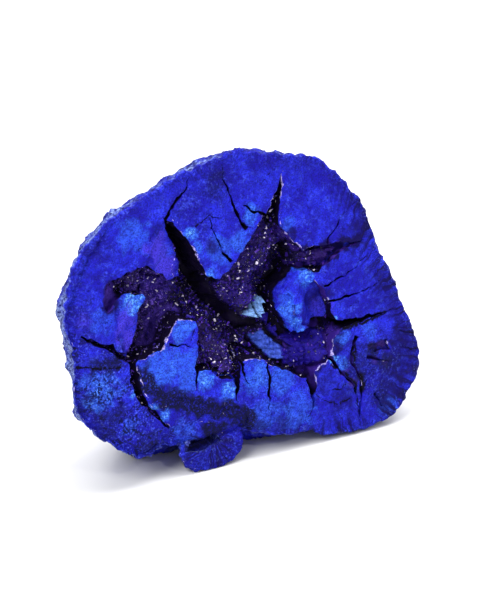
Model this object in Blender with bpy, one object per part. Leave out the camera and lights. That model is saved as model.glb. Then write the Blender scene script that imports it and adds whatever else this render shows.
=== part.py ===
# Half of an azurite nodule, standing on its rounded underside with its broken face to the front.
# The face is split by star-shaped shrinkage cracks, and a crust of small crystals lines the hollow
# between them. A small nodule has grown on to the lower edge and serves as the front foot.
#
# Shapes are laid out on the broken face in millimetres: u to the right, v up along the face and
# n out of it. face_to_world turns them into metres, with the ground at z = 0.

import random
from math import cos, floor, hypot, pi, radians, sin

import bpy
import bmesh
from mathutils import Vector, noise
from mathutils.geometry import intersect_point_line

MM = 0.001

# Stance
FACE_LEAN = radians(8)
FACE_CENTRE_HEIGHT = 25.3

# Rounded back
BODY_CENTRE = (0.5, -1.0)
BODY_DEPTH = 22.0
BODY_RINGS = 11
RIM_SPACING = 1.6
RIM_INSET = 0.35
RIM_DROP = 0.5
BACK_RADII = (29.5, 23.5)
BACK_TAPER = 1.15
BACK_SKEW = (0.24, -0.13)
BELLY_DROP = 8.0
BELLY_DEPTH = 14.0
BELLY_REACH = 10.0
LUMP_SIZE = 7.5
LUMP_HEIGHT = 1.5
LUMP_LEVEL = 0.2
KNOB_SIZE = 3.4
KNOB_HEIGHT = 0.5

# Small nodule on the lower edge
FOOT_CENTRE = (-6.9, -20.6)
FOOT_DEPTH = 8.0
FOOT_RINGS = 5
FOOT_STEP_BACK = 0.4

# Hollow and its lining
HOLLOW_CELL = 0.85
CUTTER_TOP = 2.0
CRUST_GAP = 0.3
CRUST_THICKNESS = 0.45
CRUST_WALL_GAP = 0.4
CRYSTAL_HEIGHTS = (0.25, 0.85)
CRYSTAL_SLANT = 0.18

FACE_OUTLINE = [
    (-5.5, 22.1), (-2.5, 22.8), (0.5, 23.5), (3.0, 23.1), (5.5, 22.3), (8.5, 21.7), (11.5, 20.9),
    (14.0, 20.3), (15.9, 19.3), (17.9, 17.2), (19.9, 14.7), (21.8, 12.2), (22.9, 10.0), (23.9, 7.1),
    (24.5, 4.3), (25.8, 1.5), (27.1, -0.9), (27.8, -3.6), (28.9, -6.6), (30.1, -9.5), (31.1, -12.6),
    (31.2, -14.7), (30.7, -18.0), (29.2, -20.1), (27.2, -22.9), (24.8, -24.3), (21.6, -24.9),
    (17.9, -25.0), (13.6, -24.5), (11.0, -23.2), (7.0, -22.9), (3.8, -22.1), (0.6, -21.0),
    (-2.3, -20.6), (-7.0, -20.2), (-12.5, -20.5), (-15.0, -19.8), (-16.8, -20.7), (-18.6, -20.8),
    (-20.8, -19.6), (-22.9, -17.5), (-25.2, -15.7), (-27.2, -13.0), (-28.0, -10.5), (-28.2, -7.4),
    (-27.8, -4.5), (-27.6, -2.6), (-28.3, -0.8), (-28.6, 1.5), (-28.5, 4.0), (-28.1, 6.4),
    (-27.4, 8.4), (-26.3, 10.8), (-24.8, 12.9), (-22.5, 14.9), (-20.0, 16.6), (-17.0, 18.0),
    (-14.3, 19.0), (-11.5, 20.3), (-8.5, 21.4),
]

FOOT_OUTLINE = [
    (-6.9, -16.6), (-3.0, -18.2), (-1.1, -20.3), (-0.7, -22.4), (-2.0, -24.5), (-4.4, -25.6),
    (-7.0, -25.8), (-9.3, -25.2), (-11.2, -23.7), (-11.9, -21.6), (-11.4, -19.0), (-9.8, -17.2),
]

# The hollow, clockwise from the tip of the upper crack
HOLLOW_OUTLINE = [
    (8.7, 18.9), (8.2, 15.5), (7.4, 11.0), (8.8, 9.0), (11.3, 6.0),
    (13.2, 6.4), (18.4, 6.0), (22.3, 5.6), (18.8, 5.0), (15.6, 3.1), (14.0, 2.1), (10.2, 3.0),
    (9.0, 1.8), (6.6, 0.1), (6.9, -3.0), (9.1, -6.9), (11.7, -6.2), (13.0, -5.6), (17.9, -6.3),
    (26.2, -6.6), (22.1, -7.2), (17.4, -7.6), (15.8, -9.2), (15.4, -11.0), (14.8, -12.3),
    (12.4, -13.6), (12.4, -16.4), (11.2, -20.0), (10.6, -14.5), (5.1, -11.1), (2.4, -9.4),
    (-0.2, -9.0), (-0.7, -12.1), (-1.4, -15.5), (-1.8, -11.8), (-4.8, -11.0), (-5.6, -9.5),
    (-7.6, -9.4), (-8.6, -12.8), (-8.2, -8.3), (-7.2, -3.6), (-7.6, -1.4), (-10.1, -0.4),
    (-11.9, -2.3), (-12.9, -4.6), (-17.2, -5.7), (-18.8, -6.6), (-18.8, -4.8), (-16.8, -2.1),
    (-16.2, 1.3), (-14.8, 3.4), (-18.1, 5.0), (-20.3, 3.5), (-21.4, 2.6), (-22.2, 4.6),
    (-21.4, 7.0), (-17.3, 8.2), (-14.6, 8.7), (-12.1, 6.5), (-10.2, 5.1), (-8.7, 5.4),
    (-9.1, 7.8), (-10.3, 11.4), (-11.6, 15.4), (-8.9, 12.9), (-7.0, 9.8), (-5.2, 5.3),
    (-3.1, 4.2), (0.3, 7.0), (4.6, 11.8), (7.6, 16.3),
]

# Depth of the hollow's floor below the face: (u, v, depth)
HOLLOW_FLOOR = [
    # the broad ledge in the middle, and the black gap around its lower right side
    (-2.4, 2.0, 3.6), (1.0, 3.5, 3.1), (2.6, -0.8, 3.3), (4.6, 6.4, 2.7), (6.4, 9.4, 2.9),
    (6.6, 13.6, 5.6), (8.3, 17.6, 3.4), (8.9, 4.4, 6.8), (6.2, 1.0, 6.8), (4.6, -2.4, 6.6),
    # the ledge below it and the floor beside the blue island
    (1.6, -3.8, 4.2), (5.4, -4.6, 4.4), (6.8, -7.2, 4.8),
    # the deep crack through the middle
    (-7.4, 8.0, 8.0), (-9.9, 13.0, 5.5), (-6.0, 3.6, 8.5), (-3.9, -0.2, 8.0), (-1.2, -3.4, 8.0),
    (0.6, -6.4, 7.5), (2.6, -8.6, 6.5),
    # the lower floor
    (-5.6, -2.8, 3.6), (-5.0, -6.5, 3.0), (-2.8, -8.6, 2.6), (-3.0, -10.8, 1.6), (-8.4, -11.5, 2.4),
    (-1.2, -14.0, 2.0),
    # the left floor, up to the lip and down to the black corner by the tongue
    (-8.8, 2.2, 6.6), (-11.6, 2.4, 7.0), (-13.2, 5.6, 5.6), (-17.2, 6.6, 3.6), (-20.8, 5.2, 2.4),
    (-13.0, -0.6, 7.4), (-15.4, -3.2, 8.0), (-18.2, -5.8, 5.0),
    # the right branches
    (12.0, 4.6, 2.2), (16.2, 5.0, 1.6), (21.0, 5.5, 0.8), (12.0, -7.0, 6.0), (18.0, -7.0, 4.0),
    (25.0, -6.6, 1.2), (10.0, -10.6, 3.2), (13.6, -9.6, 2.2), (14.2, -11.8, 1.2), (11.4, -14.0, 4.0),
    (11.5, -18.0, 3.0),
]

# Parts of the face that lie lower than the rest: outline, then depths at some of its places
SUNK_PATCHES = {
    "wedge_slope": (
        [(-11.4, 15.0), (-12.6, 13.5), (-13.9, 10.5), (-14.8, 8.9), (-13.1, 6.9), (-10.2, 4.8),
         (-8.4, 5.0), (-8.8, 7.8), (-10.0, 11.4)],
        [(-12.4, 12.6, 0.3), (-14.2, 9.0, 0.5), (-11.6, 7.0, 1.2), (-9.0, 5.6, 2.0), (-10.4, 11.0, 1.1)],
    ),
    "tongue_slope": (
        [(-20.4, 3.3), (-19.0, 5.2), (-18.0, 5.4), (-14.5, 3.5), (-15.9, 1.3), (-15.9, -1.2),
         (-16.6, -2.6), (-18.6, -5.0), (-19.8, -3.2), (-20.3, 0.0)],
        [(-20.0, 0.5, 0.3), (-19.2, 4.2, 0.8), (-16.6, 3.4, 1.3), (-17.0, -1.0, 1.8), (-18.8, -4.2, 1.2)],
    ),
    "island_trough": (
        [(10.2, 0.8), (13.0, 1.0), (14.6, -0.9), (15.6, -3.7), (16.2, -6.5), (11.9, -6.6),
         (10.4, -5.4), (10.5, -3.0)],
        [(10.4, -1.0, 0.3), (12.8, -0.4, 1.4), (13.6, -3.2, 2.6), (14.6, -5.6, 2.8), (10.9, -5.6, 0.9)],
    ),
    "island_slope": (
        [(6.2, -0.1), (8.2, -0.2), (9.3, -2.0), (9.7, -4.2), (9.4, -7.1), (8.7, -7.0), (6.5, -3.0)],
        [(9.2, -2.4, 0.2), (7.4, -0.6, 0.5), (7.2, -3.0, 1.5), (9.0, -6.4, 1.4)],
    ),
    "lower_left_slope": (
        [(-17.3, -9.8), (-13.3, -11.8), (-8.6, -13.7), (-4.6, -15.4), (-0.7, -17.0), (0.2, -18.8),
         (-1.4, -22.5), (-14.2, -22.8), (-14.4, -20.0), (-14.9, -18.0), (-14.2, -16.0),
         (-15.5, -14.1), (-16.8, -12.2)],
        [(-16.4, -10.8, 0.2), (-8.6, -14.2, 0.5), (-1.0, -17.4, 0.3), (-12.6, -15.2, 0.6),
         (-5.0, -18.8, 0.8), (-13.0, -19.5, 0.8), (-6.0, -21.5, 1.0)],
    ),
    "right_facet": (
        [(21.3, -11.1), (25.3, -11.2), (25.7, -12.9), (22.0, -12.6)],
        [(22.0, -11.6, 0.3), (25.0, -12.2, 0.8)],
    ),
}
FOOT_PIT = (
    [(-10.6, -21.6), (-9.4, -20.4), (-7.4, -19.8), (-5.2, -20.2), (-4.8, -21.2), (-6.2, -22.2),
     (-8.6, -22.3)],
    [(-7.0, -21.2, 2.4), (-9.6, -21.2, 1.9)],
)

# Narrow cracks: route from the wide end to the tip, width and depth at the wide end
CRACKS = {
    "top_crack": ([(1.9, 11.2), (0.8, 13.0), (-0.1, 15.2), (-0.9, 18.3), (-1.5, 20.2)], 0.6, 2.2),
    "upper_left_crack": ([(-0.9, 6.4), (-2.1, 8.0), (-2.9, 10.0), (-4.2, 14.3)], 0.6, 2.2),
    "branch_crack": ([(5.7, 12.6), (4.4, 12.9), (2.5, 14.2), (1.3, 14.7)], 0.6, 2.2),
    "lip_crack": ([(-11.2, 15.0), (-9.2, 17.4), (-7.7, 18.8), (-6.8, 20.2)], 0.6, 2.0),
    "block_crack": (
        [(-18.3, -5.6), (-18.3, -8.6), (-17.4, -11.2), (-16.2, -13.2), (-14.7, -15.0), (-12.5, -17.7)],
        1.6, 4.5,
    ),
    "left_crack": ([(-18.2, -5.4), (-20.1, -4.2), (-21.6, -2.6), (-23.8, -1.6), (-26.2, 0.1)], 1.4, 4.0),
    "block_seam": ([(-12.2, -4.2), (-10.6, -4.6), (-8.6, -5.1)], 0.5, 1.6),
    "lower_crack": ([(4.1, -9.8), (4.2, -13.4), (4.0, -16.1), (3.6, -18.0)], 0.7, 2.4),
    "short_crack": ([(-0.3, -8.6), (0.0, -11.0), (0.7, -13.2)], 0.6, 2.0),
    "right_crack": ([(14.4, -0.4), (16.4, 0.2), (18.7, 0.9), (20.9, 2.1)], 0.6, 1.6),
    "lower_right_crack": ([(14.8, -3.0), (17.9, -2.8), (20.4, -2.6), (23.1, -1.9)], 0.6, 1.6),
    "upper_right_crack": ([(15.7, 5.6), (15.8, 7.1), (17.3, 8.7), (18.2, 9.8)], 0.6, 1.8),
    "fan_crack": ([(14.6, -11.6), (16.2, -13.8), (18.4, -16.5), (19.5, -19.3)], 0.8, 2.4),
    "fan_long_crack": (
        [(20.0, -9.4), (18.9, -11.6), (18.7, -13.6), (19.8, -15.5), (20.6, -18.5), (19.5, -22.4)],
        0.8, 2.2,
    ),
    "facet_crack": ([(21.4, -13.0), (23.2, -13.8), (25.3, -14.8)], 0.7, 1.4),
    "edge_crack": ([(22.4, -19.2), (23.2, -20.4), (24.0, -21.8)], 0.7, 1.5),
}


def clear_scene():
    for item in list(bpy.data.objects):
        bpy.data.objects.remove(item)


def face_to_world(u, v, n=0.0):
    y = v * sin(FACE_LEAN) - n * cos(FACE_LEAN)
    z = v * cos(FACE_LEAN) + n * sin(FACE_LEAN) + FACE_CENTRE_HEIGHT
    return Vector((u, y, z)) * MM


def make_material(name, colour, roughness):
    material = bpy.data.materials.new(name)
    material.use_nodes = True
    shader = material.node_tree.nodes["Principled BSDF"]
    shader.inputs["Base Color"].default_value = (*colour, 1.0)
    shader.inputs["Roughness"].default_value = roughness
    shader.inputs["Metallic"].default_value = 0.0
    return material


def finish_object(name, bm):
    # Takes a mesh laid out in face millimetres and stands it in the world.
    for vert in bm.verts:
        vert.co = face_to_world(*vert.co)
    bmesh.ops.recalc_face_normals(bm, faces=bm.faces)
    mesh = bpy.data.meshes.new(name)
    bm.to_mesh(mesh)
    bm.free()
    item = bpy.data.objects.new(name, mesh)
    bpy.context.scene.collection.objects.link(item)
    return item


def add_boolean(target, other, operation):
    other.hide_render = True
    other.display_type = "WIRE"
    modifier = target.modifiers.new(other.name, "BOOLEAN")
    modifier.operation = operation
    modifier.solver = "EXACT"
    modifier.object = other


def smooth_loop(points, spacing):
    # Catmull-Rom curve through the closed row of points.
    loop = []
    count = len(points)
    for i in range(count):
        p0, p1, p2, p3 = (Vector(points[(i + k) % count]) for k in (-1, 0, 1, 2))
        steps = max(1, round((p2 - p1).length / spacing))
        for step in range(steps):
            t = step / steps
            loop.append(0.5 * (2 * p1 + (p2 - p0) * t + (2 * p0 - 5 * p1 + 4 * p2 - p3) * t * t
                               + (3 * p1 - p0 - 3 * p2 + p3) * t ** 3))
    return loop


def lump_offset(point):
    # Rounded lumps that meet in creases, with smaller knobs on them.
    lump = noise.voronoi(point / LUMP_SIZE)[0][0]
    knob = noise.noise(point / KNOB_SIZE)
    return LUMP_HEIGHT * (LUMP_LEVEL - lump) + KNOB_HEIGHT * knob


def belly_offset(v, depth):
    # The underside bulges down behind the lower rim, so that it reaches the ground.
    low = max(0.0, -v / BACK_RADII[1])
    along = max(0.0, 1.0 - ((depth - BELLY_DEPTH) / BELLY_REACH) ** 2)
    return BELLY_DROP * low * along ** 2


def rounded_back(name, outline, centre, face_level, depth, rings):
    # The rim follows the outline. The rings behind it close in, turn more and more round and lean
    # to one side.
    bm = bmesh.new()
    centre = Vector(centre)
    loop = smooth_loop(outline, RIM_SPACING)
    size = max((p - centre).length for p in loop)
    skew = Vector(BACK_SKEW)
    rows = [[bm.verts.new((*(p - (p - centre).normalized() * RIM_INSET), face_level)) for p in loop]]
    for ring in range(rings):
        angle = pi / 2 * ring / rings
        spread = cos(angle) ** BACK_TAPER
        below = RIM_DROP + (depth - RIM_DROP) * sin(angle)
        row = []
        for p in loop:
            away = p - centre
            radii = Vector(BACK_RADII) * size / BACK_RADII[0]
            ellipse = away / hypot(away.x / radii.x, away.y / radii.y)
            place = centre + away.lerp(ellipse, sin(angle)) * spread + skew * below
            point = Vector((place.x, place.y - belly_offset(place.y, below), face_level - below))
            outward = (point - Vector((*centre, face_level))).normalized()
            swell = min(1.0, below / 3.0)
            row.append(bm.verts.new(point + outward * lump_offset(point) * swell))
        rows.append(row)
    count = len(loop)
    for upper, lower in zip(rows, rows[1:]):
        for i in range(count):
            bm.faces.new((upper[i], upper[(i + 1) % count], lower[(i + 1) % count], lower[i]))
    back = bm.verts.new((*(centre + skew * depth), face_level - depth))
    for i in range(count):
        bm.faces.new((rows[-1][i], rows[-1][(i + 1) % count], back))
    bm.faces.new(rows[0])
    bmesh.ops.triangulate(bm, faces=[face for face in bm.faces if len(face.verts) == 4])
    return finish_object(name, bm)


def ground_block():
    bm = bmesh.new()
    bmesh.ops.create_cube(bm, size=0.1)
    for vert in bm.verts:
        vert.co.z -= 0.05
    mesh = bpy.data.meshes.new("ground_block")
    bm.to_mesh(mesh)
    bm.free()
    item = bpy.data.objects.new("ground_block", mesh)
    bpy.context.scene.collection.objects.link(item)
    return item


def floor_depth(u, v, spots):
    # Each place takes mostly the depth of the spot nearest to it, which makes ledges.
    total = 0.0
    weights = 0.0
    for spot_u, spot_v, depth in spots:
        weight = 1.0 / (hypot(u - spot_u, v - spot_v) + 0.15) ** 4
        total += weight * depth
        weights += weight
    return total / weights


def grid_lines(low, high, cell):
    return [cell * (k + 0.5) for k in range(floor(low / cell), floor(high / cell) + 1)]


def floor_sheet(outline, spots, cell):
    # A sheet over the outline, cut into cells and let down to the floor's depth.
    bm = bmesh.new()
    bm.faces.new([bm.verts.new((u, v, 0.0)) for u, v in outline])
    for axis in (0, 1):
        values = [point[axis] for point in outline]
        normal = Vector((1.0, 0.0, 0.0)) if axis == 0 else Vector((0.0, 1.0, 0.0))
        for line in grid_lines(min(values), max(values), cell):
            geometry = bm.verts[:] + bm.edges[:] + bm.faces[:]
            bmesh.ops.bisect_plane(bm, geom=geometry, plane_co=normal * line, plane_no=normal, dist=1e-4)
    jitter = random.Random(5)
    for vert in bm.verts:
        if not vert.is_boundary:
            vert.co.x += jitter.uniform(-0.25, 0.25) * cell
            vert.co.y += jitter.uniform(-0.25, 0.25) * cell
    for vert in bm.verts:
        vert.co.z = -floor_depth(vert.co.x, vert.co.y, spots)
    return bm


def hollow_cutter(name, outline, spots, cell):
    bm = floor_sheet(outline, spots, cell)
    bmesh.ops.triangulate(bm, faces=bm.faces, quad_method="SHORT_EDGE", ngon_method="BEAUTY")
    grown = bmesh.ops.extrude_face_region(bm, geom=bm.faces[:])["geom"]
    for item in grown:
        if isinstance(item, bmesh.types.BMVert):
            item.co.z = CUTTER_TOP
    return finish_object(name, bm)


def crack_cutter(name, route, width, depth):
    # A wedge under the face that narrows and shallows towards the tip.
    bm = bmesh.new()
    rows = []
    last = len(route) - 1
    for i, point in enumerate(route):
        before = Vector(route[max(0, i - 1)])
        after = Vector(route[min(last, i + 1)])
        across = (after - before).normalized().orthogonal()
        left = 1.0 - i / last
        half = 0.5 * width * (0.25 + 0.75 * left ** 0.7)
        below = depth * (0.3 + 0.7 * left)
        half_top = half * (below + CUTTER_TOP) / below
        centre = Vector(point)
        rows.append((
            bm.verts.new((*(centre - across * half_top), CUTTER_TOP)),
            bm.verts.new((*(centre + across * half_top), CUTTER_TOP)),
            bm.verts.new((*centre, -below)),
        ))
    for here, there in zip(rows, rows[1:]):
        for side in range(3):
            other = (side + 1) % 3
            bm.faces.new((here[side], there[side], there[other], here[other]))
    bm.faces.new(rows[0])
    bm.faces.new(rows[-1])
    bmesh.ops.triangulate(bm, faces=bm.faces)
    return finish_object(name, bm)


def wall_distance(point, outline):
    flat = point.to_2d()
    nearest = 1e9
    for start, end in zip(outline, outline[1:] + outline[:1]):
        foot, share = intersect_point_line(flat, Vector(start), Vector(end))
        if share < 0.0:
            foot = Vector(start)
        if share > 1.0:
            foot = Vector(end)
        nearest = min(nearest, (flat - foot.to_2d()).length)
    return nearest


def connected_cells(start):
    found = {start}
    waiting = [start]
    while waiting:
        for edge in waiting.pop().edges:
            for face in edge.link_faces:
                if face not in found:
                    found.add(face)
                    waiting.append(face)
    return found


def keep_one_sheet(bm):
    # Cells that meet the rest only at a corner go, and then all but the largest connected sheet.
    pinched = True
    while pinched:
        pinched = [vert for vert in bm.verts if sum(edge.is_boundary for edge in vert.link_edges) > 2]
        faces = {min(vert.link_faces, key=lambda face: face.calc_area()) for vert in pinched}
        bmesh.ops.delete(bm, geom=list(faces), context="FACES")
    sheets = []
    rest = set(bm.faces)
    while rest:
        sheet = connected_cells(min(rest, key=lambda face: face.index))
        sheets.append(sheet)
        rest -= sheet
    largest = max(sheets, key=len)
    spare = [face for face in bm.faces if face not in largest]
    bmesh.ops.delete(bm, geom=spare, context="FACES")


def crystal_crust():
    bm = floor_sheet(HOLLOW_OUTLINE, HOLLOW_FLOOR, HOLLOW_CELL)
    near_wall = {v for v in bm.verts if wall_distance(v.co, HOLLOW_OUTLINE) < CRUST_WALL_GAP}
    cut = [face for face in bm.faces if any(vert in near_wall for vert in face.verts)]
    bmesh.ops.delete(bm, geom=cut, context="FACES")
    bm.faces.index_update()
    keep_one_sheet(bm)
    for vert in bm.verts:
        vert.co.z += CRUST_GAP
    under = bm.faces[:]
    grown = bmesh.ops.extrude_face_region(bm, geom=under)["geom"]
    bmesh.ops.translate(bm, vec=(0.0, 0.0, CRUST_THICKNESS),
                        verts=[item for item in grown if isinstance(item, bmesh.types.BMVert)])
    top = [item for item in grown if isinstance(item, bmesh.types.BMFace)]
    bmesh.ops.triangulate(bm, faces=under, quad_method="SHORT_EDGE")
    growth = random.Random(11)
    for tip in bmesh.ops.poke(bm, faces=top)["verts"]:
        steep = max(edge.calc_length() for edge in tip.link_edges) > HOLLOW_CELL
        height = growth.uniform(*CRYSTAL_HEIGHTS) * (0.5 if steep else 1.0)
        tip.co.x += growth.uniform(-CRYSTAL_SLANT, CRYSTAL_SLANT)
        tip.co.y += growth.uniform(-CRYSTAL_SLANT, CRYSTAL_SLANT)
        tip.co.z += height
    bmesh.ops.triangulate(bm, faces=bm.faces)
    return finish_object("crystal_crust", bm)


def nodule():
    body = rounded_back("nodule", FACE_OUTLINE, BODY_CENTRE, 0.0, BODY_DEPTH, BODY_RINGS)
    foot = rounded_back("foot", FOOT_OUTLINE, FOOT_CENTRE, -FOOT_STEP_BACK, FOOT_DEPTH, FOOT_RINGS)
    add_boolean(foot, hollow_cutter("foot_pit", *FOOT_PIT, HOLLOW_CELL), "DIFFERENCE")
    for name, (outline, spots) in SUNK_PATCHES.items():
        add_boolean(body, hollow_cutter(name, outline, spots, 2 * HOLLOW_CELL), "DIFFERENCE")
    add_boolean(body, foot, "UNION")
    add_boolean(body, ground_block(), "DIFFERENCE")
    hollow = hollow_cutter("hollow", HOLLOW_OUTLINE, HOLLOW_FLOOR, HOLLOW_CELL)
    add_boolean(body, hollow, "DIFFERENCE")
    for name, (route, width, depth) in CRACKS.items():
        add_boolean(body, crack_cutter(name, route, width, depth), "DIFFERENCE")
    body.modifiers.new("triangles", "TRIANGULATE")
    return body


def stand_over_origin(piece):
    # Everything hangs on one empty, which is moved until the piece stands centred over the origin.
    stand = bpy.data.objects.new("stand", None)
    bpy.context.scene.collection.objects.link(stand)
    for item in list(bpy.context.scene.objects):
        if item is not stand:
            item.parent = stand
    bpy.context.view_layer.update()
    solid = piece.evaluated_get(bpy.context.evaluated_depsgraph_get())
    corners = [solid.matrix_world @ Vector(corner) for corner in solid.bound_box]
    for axis in (0, 1):
        values = [corner[axis] for corner in corners]
        stand.location[axis] = -(min(values) + max(values)) / 2


clear_scene()
azurite = make_material("azurite", (0.03, 0.04, 0.48), 0.55)
azurite_crystal = make_material("azurite_crystal", (0.03, 0.01, 0.14), 0.12)
nodule_body = nodule()
nodule_body.data.materials.append(azurite)
crust = crystal_crust()
crust.data.materials.append(azurite_crystal)
stand_over_origin(nodule_body)
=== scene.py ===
from math import cos, pi, radians, sin
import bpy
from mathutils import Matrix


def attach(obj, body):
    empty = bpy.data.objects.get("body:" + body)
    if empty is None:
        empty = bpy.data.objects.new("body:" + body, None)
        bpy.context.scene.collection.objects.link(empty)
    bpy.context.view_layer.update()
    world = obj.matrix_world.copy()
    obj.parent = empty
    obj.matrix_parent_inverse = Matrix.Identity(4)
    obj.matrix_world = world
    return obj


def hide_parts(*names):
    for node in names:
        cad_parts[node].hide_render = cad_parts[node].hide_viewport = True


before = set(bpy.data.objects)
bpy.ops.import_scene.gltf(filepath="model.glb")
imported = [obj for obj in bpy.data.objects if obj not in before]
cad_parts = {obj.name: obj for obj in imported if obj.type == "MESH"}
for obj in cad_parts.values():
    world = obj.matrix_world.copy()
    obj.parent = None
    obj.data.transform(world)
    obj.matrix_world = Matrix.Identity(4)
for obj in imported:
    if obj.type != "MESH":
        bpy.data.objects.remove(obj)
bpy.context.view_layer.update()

from types import SimpleNamespace

import bmesh
import bpy
import numpy as np
from mathutils import Vector, noise
from mathutils.bvhtree import BVHTree

mm = 0.001

# The broken face has its own axes: u to the right, v up along the face, n out of it, all in mm.
facePlane = {"centre": (-1.566, -8.902, 25.3), "lean": 8, "middle": (0.5, -1.0)}
lean = radians(facePlane["lean"])
faceCentre = np.array(facePlane["centre"])
faceAxes = np.array([[1, 0, 0], [0, sin(lean), cos(lean)], [0, -cos(lean), sin(lean)]])
ahead = Vector((0, 0, 1))  # out of the face


def toFace(points):
    return (np.asarray(points) / mm - faceCentre) @ faceAxes.T


def toWorld(points):
    return (np.asarray(points) @ faceAxes + faceCentre) * mm


def smooth(low, high, values):
    share = np.clip((np.asarray(values, float) - low) / (high - low), 0, 1)
    return share * share * (3 - 2 * share)


def noiseOver(vectors, size, seed=0):
    shift = Vector((seed * 7.31, seed * 3.17, seed * 5.93))
    return np.array([noise.noise(p / size + shift) for p in vectors])


def cellsOver(vectors, size, seed=0):
    # Distance to the nearest of scattered cell centres, in cell sizes.
    shift = Vector((seed * 7.31, seed * 3.17, seed * 5.93))
    return np.array([noise.voronoi(p / size + shift)[0][0] for p in vectors])


def meshCoords(mesh):
    coords = np.empty(len(mesh.vertices) * 3)
    mesh.vertices.foreach_get("co", coords)
    return coords.reshape(-1, 3)


def meshNormals(mesh):
    normals = np.empty(len(mesh.vertices) * 3)
    mesh.vertex_normals.foreach_get("vector", normals)
    return normals.reshape(-1, 3)


def meshTriangles(mesh):
    corners = np.empty(len(mesh.polygons) * 3, dtype=np.int64)
    mesh.polygons.foreach_get("vertices", corners)
    return corners.reshape(-1, 3)


def ovalDistance(points, oval):
    # Distance across the face from the oval's middle, in its half-widths.
    (u, v), (halfU, halfV) = oval
    return np.hypot((points[:, 0] - u) / halfU, (points[:, 1] - v) / halfV)


def lineDistance(points, lines):
    # Smallest distance across the face to any of the lines, in half-widths of that line.
    nearest = np.full(len(points), 9.0)
    for route, halfWidth in lines:
        for start, end in zip(route, route[1:]):
            start, along = np.array(start), np.subtract(end, start)
            share = np.clip((points[:, :2] - start) @ along / (along @ along), 0, 1)
            away = points[:, :2] - start - share[:, None] * along
            nearest = np.minimum(nearest, np.hypot(*away.T) / halfWidth)
    return nearest


def addPiece(name, mesh):
    piece = bpy.data.objects.new(name, mesh)
    bpy.context.scene.collection.objects.link(piece)
    return piece


def meshFrom(bm, name):
    bm.normal_update()
    mesh = bpy.data.meshes.new(name)
    bm.to_mesh(mesh)
    bm.free()
    return mesh


def joinedNode(name):
    # A node's solid as one joined mesh to work on.
    bm = bmesh.new()
    bm.from_mesh(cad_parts[name].data)
    bmesh.ops.remove_doubles(bm, verts=bm.verts, dist=1e-6)
    return bm


def addMask(mesh, name, values):
    layer = mesh.attributes.new(name, "FLOAT", "POINT")
    layer.data.foreach_set("value", np.asarray(values, dtype=np.float32))


cameraSetup = {
    "azimuth": -28, "elevation": 24, "distance": 320, "mmPerPixel": 0.15, "imageHeight": 605, "sensor": 36,
    "nearest": 0.01, "farthest": 20,
}


def viewDirection(azimuth, elevation):
    a, e = radians(azimuth), radians(elevation)
    return Vector((sin(a) * cos(e), -cos(a) * cos(e), sin(e)))


def addCamera():
    s = cameraSetup
    data = bpy.data.cameras.new("camera")
    data.sensor_width = s["sensor"]
    data.lens = s["distance"] / s["mmPerPixel"] / s["imageHeight"] * s["sensor"]
    data.clip_start = s["nearest"]
    data.clip_end = s["farthest"]
    camera = bpy.data.objects.new("camera", data)
    away = viewDirection(s["azimuth"], s["elevation"])
    camera.location = Vector(faceCentre * mm) + away * s["distance"] * mm
    camera.rotation_euler = away.to_track_quat("Z", "Y").to_euler()
    bpy.context.scene.collection.objects.link(camera)
    bpy.context.scene.camera = camera


lightSetup = {
    "world": 0.5,
    "overhead": {"azimuth": 142, "elevation": 81, "distance": 0.9, "size": (1.0, 0.45), "watts": 9.2},
    "side": {"azimuth": 105, "elevation": 56, "distance": 0.9, "size": (0.5, 0.5), "watts": 4.4},
    "key": {"azimuth": -66, "elevation": 48, "distance": 0.8, "size": (0.4, 0.4), "watts": 5.2},
    "glint": {"azimuth": 8, "elevation": 42, "distance": 0.9, "size": (0.04, 0.04), "watts": 1.0},
}


def addLight(name, azimuth, elevation, distance, size, watts):
    data = bpy.data.lights.new(name, "AREA")
    data.shape = "RECTANGLE"
    data.size, data.size_y = size
    data.energy = watts
    light = bpy.data.objects.new(name, data)
    away = viewDirection(azimuth, elevation)
    light.location = Vector(faceCentre * mm) + away * distance
    light.rotation_euler = away.to_track_quat("Z", "Y").to_euler()
    bpy.context.scene.collection.objects.link(light)


stageSetup = {"floorRadius": 4, "paper": (0.72, 0.72, 0.72, 1), "paperRoughness": 0.9}


def addStage():
    s = stageSetup
    bm = bmesh.new()
    bmesh.ops.create_circle(bm, cap_ends=True, segments=64, radius=s["floorRadius"])
    floor = addPiece("floor", meshFrom(bm, "floor"))
    paper = bpy.data.materials.new("paleFloor")
    paper.use_nodes = True
    shader = paper.node_tree.nodes["Principled BSDF"]
    shader.inputs["Base Color"].default_value = s["paper"]
    shader.inputs["Roughness"].default_value = s["paperRoughness"]
    shader.inputs["Specular IOR Level"].default_value = 0.0
    floor.data.materials.append(paper)
    world = bpy.data.worlds.new("studio")
    world.use_nodes = True
    background = world.node_tree.nodes["Background"]
    background.inputs["Color"].default_value = (1, 1, 1, 1)
    background.inputs["Strength"].default_value = lightSetup["world"]
    bpy.context.scene.world = world
    for name in ("overhead", "side", "key", "glint"):
        addLight(name, **lightSetup[name])
    bpy.context.scene.view_settings.view_transform = "Standard"


addCamera()
addStage()
print("camera, floor and lights")


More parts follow.
